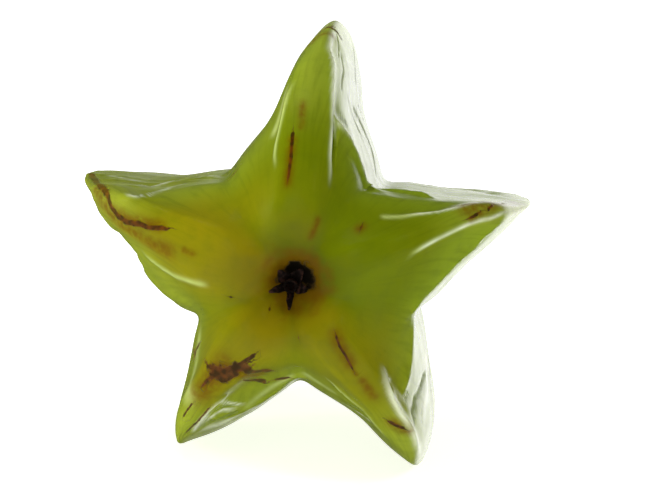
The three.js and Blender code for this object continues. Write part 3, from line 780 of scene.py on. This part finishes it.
    # relief: soft mottling, fine grain, raised scars, raised lines under the painted highlights, sunken grooves
    height = addNode(tree, "Math", {0: noises["mottle"], 1: peel["mottleLift"]}, operation="MULTIPLY")
    for source, lift in ((noises["grain"], "grainLift"), (scar, "scarLift"), (painted["paintedHighlight"], "highlightLineLift"),
                         (painted["shadedGroove"], "grooveLift")):
        height = addNode(tree, "Math", {0: source, 1: peel[lift], 2: height}, operation="MULTIPLY_ADD")
    bump = addNode(tree, "Bump", {"Height": height, "Strength": peel["reliefStrength"],
                                  "Distance": peel["relief"]})
    shader = addNode(tree, "BsdfPrincipled", {
        "Base Color": colour, "Roughness": rough, "IOR": 1.4, "Normal": bump,
        "Subsurface Weight": 0.2, "Subsurface Radius": (0.8, 1.0, 0.15), "Subsurface Scale": 0.004,
        "Sheen Weight": 0.2, "Sheen Roughness": 0.4, "Sheen Tint": "#c8d860",
    })
    addNode(tree, "OutputMaterial", {"Surface": shader})
    return material


starFruit = buildFruit()
starFruit.data.materials.append(skinMaterial())
print("fruit built:", len(starFruit.data.polygons), "faces")

# calyx: the broken end of the stalk and five withered sepals, dried nearly black
calyx = {
    "stubSides": 12, "stubWide": 0.9, "stubLong": 0.92,  # shares of the CAD stub's box
    "stubRim": 0.00035, "stubHollow": 0.0009, "ragged": 0.00012,
    "sepalRows": [0.6, 0.95, 1, 0.95, 0.8, 0.55, 0.2],  # width of the seven rows from the stub outwards
    "sepalBow": [0.0, 0.06, 0.12, 0.15, 0.12, 0.06, 0.0], "sepalCup": 0.16, "cupFrom": 0.35,
    "sepalWidths": [0.0021, 0.0019, 0.0010, 0.0013, 0.0021], "sepalReach": [1, 0.9, 0.8, 0.8, 0.95],
    "sepalThick": 0.00028, "sepalInner": 0.0007,
    "crumple": 0.0003, "crumpleSize": 0.0009,
    "patches": 1500, "fibres": 2500,  # to a metre, so 0.7 and 0.4 mm across
    "fibreDepth": 0.0002,
}


def selectVerts(thing, wanted):  # in edit mode, by their place
    bpy.ops.mesh.select_mode(type="VERT")
    bpy.ops.mesh.select_all(action="DESELECT")
    mesh = bmesh.from_edit_mesh(thing.data)
    for vert in mesh.verts:
        vert.select_set(wanted(vert.co))
    mesh.select_flush(True)
    bmesh.update_edit_mesh(thing.data)


def crumple(thing):
    texture = bpy.data.textures.new("crumple", "CLOUDS")
    texture.noise_scale, texture.noise_depth = calyx["crumpleSize"], 2
    addModifier(thing, "DISPLACE", texture=texture, texture_coords="GLOBAL", strength=calyx["crumple"],
                mid_level=0.5)


def finishDried(thing, node, material):
    pickOnly(thing)
    bpy.ops.object.transform_apply(location=True, rotation=True, scale=True)
    bpy.ops.object.shade_smooth()
    thing.data.materials.append(material)
    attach(thing, "root")
    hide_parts(node)


def buildStub(material):  # a short cylinder with a hollow, ragged end
    low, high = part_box("stalk_stub")
    deselectAll()
    radius, length = (high.x - low.x) / 2 * calyx["stubWide"], (high.y - low.y) * calyx["stubLong"]
    bpy.ops.mesh.primitive_cylinder_add(vertices=calyx["stubSides"], radius=radius, depth=length,
                                        location=axisStart, rotation=(math.pi / 2, 0, 0))
    stub = bpy.context.object
    stub.name = "broken_stalk_end"
    bpy.ops.object.mode_set(mode="EDIT")
    selectVerts(stub, lambda place: place.z > 0)
    bpy.ops.mesh.inset(thickness=calyx["stubRim"], depth=0)
    bpy.ops.mesh.extrude_region_move(TRANSFORM_OT_translate={"value": (0, calyx["stubHollow"], 0)})
    bpy.ops.mesh.select_all(action="SELECT")
    bpy.ops.mesh.subdivide(number_cuts=2)
    bpy.ops.transform.vertex_random(offset=calyx["ragged"], seed=4)
    bpy.ops.object.mode_set(mode="OBJECT")
    addModifier(stub, "SUBSURF", levels=1, render_levels=1)
    crumple(stub)
    finishDried(stub, "stalk_stub", material)


def buildSepal():  # a unit sepal that points along +Y, its face up
    last = len(calyx["sepalRows"]) - 1
    deselectAll()
    bpy.ops.mesh.primitive_grid_add(x_subdivisions=4, y_subdivisions=last, size=1, location=(0, 0.5, 0))
    sepal = bpy.context.object
    bpy.ops.object.transform_apply(location=True)
    bpy.ops.object.mode_set(mode="EDIT")
    for row, (width, bow) in enumerate(zip(calyx["sepalRows"], calyx["sepalBow"])):
        selectVerts(sepal, lambda place: abs(place.y - row / last) < 0.02)
        bpy.ops.transform.resize(value=(width, 1, 1))
        bpy.ops.transform.translate(value=(0, 0, bow))
    selectVerts(sepal, lambda place: abs(place.x) > calyx["cupFrom"])
    bpy.ops.transform.translate(value=(0, 0, calyx["sepalCup"]))
    bpy.ops.object.mode_set(mode="OBJECT")
    return sepal


def placeSepals(pattern, material):
    for index, (width, share) in enumerate(zip(calyx["sepalWidths"], calyx["sepalReach"])):
        node = "sepal_" + str(index + 1)
        low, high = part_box(node)
        outward = (low + high) / 2 - axisStart
        outward = Vector((outward.x, 0, outward.z)).normalized()
        corners = [Vector((x, 0, z)) for x in (low.x, high.x) for z in (low.z, high.z)]
        reach = max((corner - axisStart).dot(outward) for corner in corners) * share
        start, end = axisStart + outward * calyx["sepalInner"], axisStart + outward * reach
        start.y, end.y = high.y - calyx["sepalThick"], low.y + calyx["sepalThick"]
        long = end - start
        face = Vector((0, -1, 0))
        face = (face - long * face.dot(long) / long.length_squared).normalized()
        wide = long.cross(face).normalized()
        sepal = bpy.data.objects.new("withered_sepal_" + str(index + 1), pattern.data.copy())
        bpy.context.collection.objects.link(sepal)
        sepal.matrix_world = Matrix((wide * width, long, face * width)).transposed().to_4x4()
        sepal.location = start
        pickOnly(sepal)
        bpy.ops.object.transform_apply(location=True, rotation=True, scale=True)
        bpy.ops.object.mode_set(mode="EDIT")
        bpy.ops.mesh.select_all(action="SELECT")
        bpy.ops.transform.vertex_random(offset=calyx["ragged"], seed=index + 11)
        bpy.ops.object.mode_set(mode="OBJECT")
        addModifier(sepal, "SOLIDIFY", thickness=calyx["sepalThick"], offset=0)
        addModifier(sepal, "SUBSURF", levels=2, render_levels=2)
        crumple(sepal)
        finishDried(sepal, node, material)
    bpy.data.objects.remove(pattern)


def driedMaterial(name, dark, pale):  # dead plant tissue: matt and dark, fibrous, with a few redder patches
    material, tree = newMaterial(name)
    place = addNode(tree, "TexCoord").outputs["Object"]
    patches = addNode(tree, "TexNoise", {"Vector": place, "Scale": calyx["patches"], "Detail": 4}).outputs["Fac"]
    fibres = addNode(tree, "TexVoronoi", {"Vector": place, "Scale": calyx["fibres"]}, feature="DISTANCE_TO_EDGE")
    share = addNode(tree, "MapRange", {"Value": patches, "From Min": 0.5, "From Max": 0.75})
    colour = addNode(tree, "Mix", {0: share.outputs[0], 6: dark, 7: pale}, data_type="RGBA")
    bump = addNode(tree, "Bump", {"Height": fibres.outputs["Distance"], "Strength": 0.5,
                                  "Distance": calyx["fibreDepth"]})
    shader = addNode(tree, "BsdfPrincipled", {"Base Color": colour.outputs[2], "Roughness": 0.7, "IOR": 1.45,
                                              "Normal": bump.outputs[0]})
    addNode(tree, "OutputMaterial", {"Surface": shader.outputs[0]})
    return material


buildStub(driedMaterial("blackened dry stalk", "#0d0604", "#34190e"))
placeSepals(buildSepal(), driedMaterial("withered sepal", "#0d0604", "#4a2a1e"))
print("calyx built")

# style: the withered thread end at the far tip of the fruit
style = {"sides": 8, "wide": 0.95, "taper": 0.45, "lean": 0.00015, "ragged": 0.00005}


def buildStyle(material):
    low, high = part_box("style_tip")
    deselectAll()
    bpy.ops.mesh.primitive_cylinder_add(vertices=style["sides"], radius=(high.x - low.x) / 2 * style["wide"],
                                        depth=high.y - low.y, location=axisEnd, rotation=(-math.pi / 2, 0, 0))
    tip = bpy.context.object
    tip.name = "withered_style"
    bpy.ops.object.mode_set(mode="EDIT")
    selectVerts(tip, lambda place: place.z > 0)
    bpy.ops.transform.resize(value=(style["taper"],) * 3)
    bpy.ops.transform.translate(value=(style["lean"], 0, style["lean"]))
    bpy.ops.mesh.select_all(action="SELECT")
    bpy.ops.mesh.subdivide(number_cuts=3)
    bpy.ops.transform.vertex_random(offset=style["ragged"], seed=7)
    bpy.ops.object.mode_set(mode="OBJECT")
    addModifier(tip, "SUBSURF", levels=1, render_levels=1)
    finishDried(tip, "style_tip", material)


buildStyle(driedMaterial("dry brown style", "#2a180c", "#6b4a2a"))
print("style built")
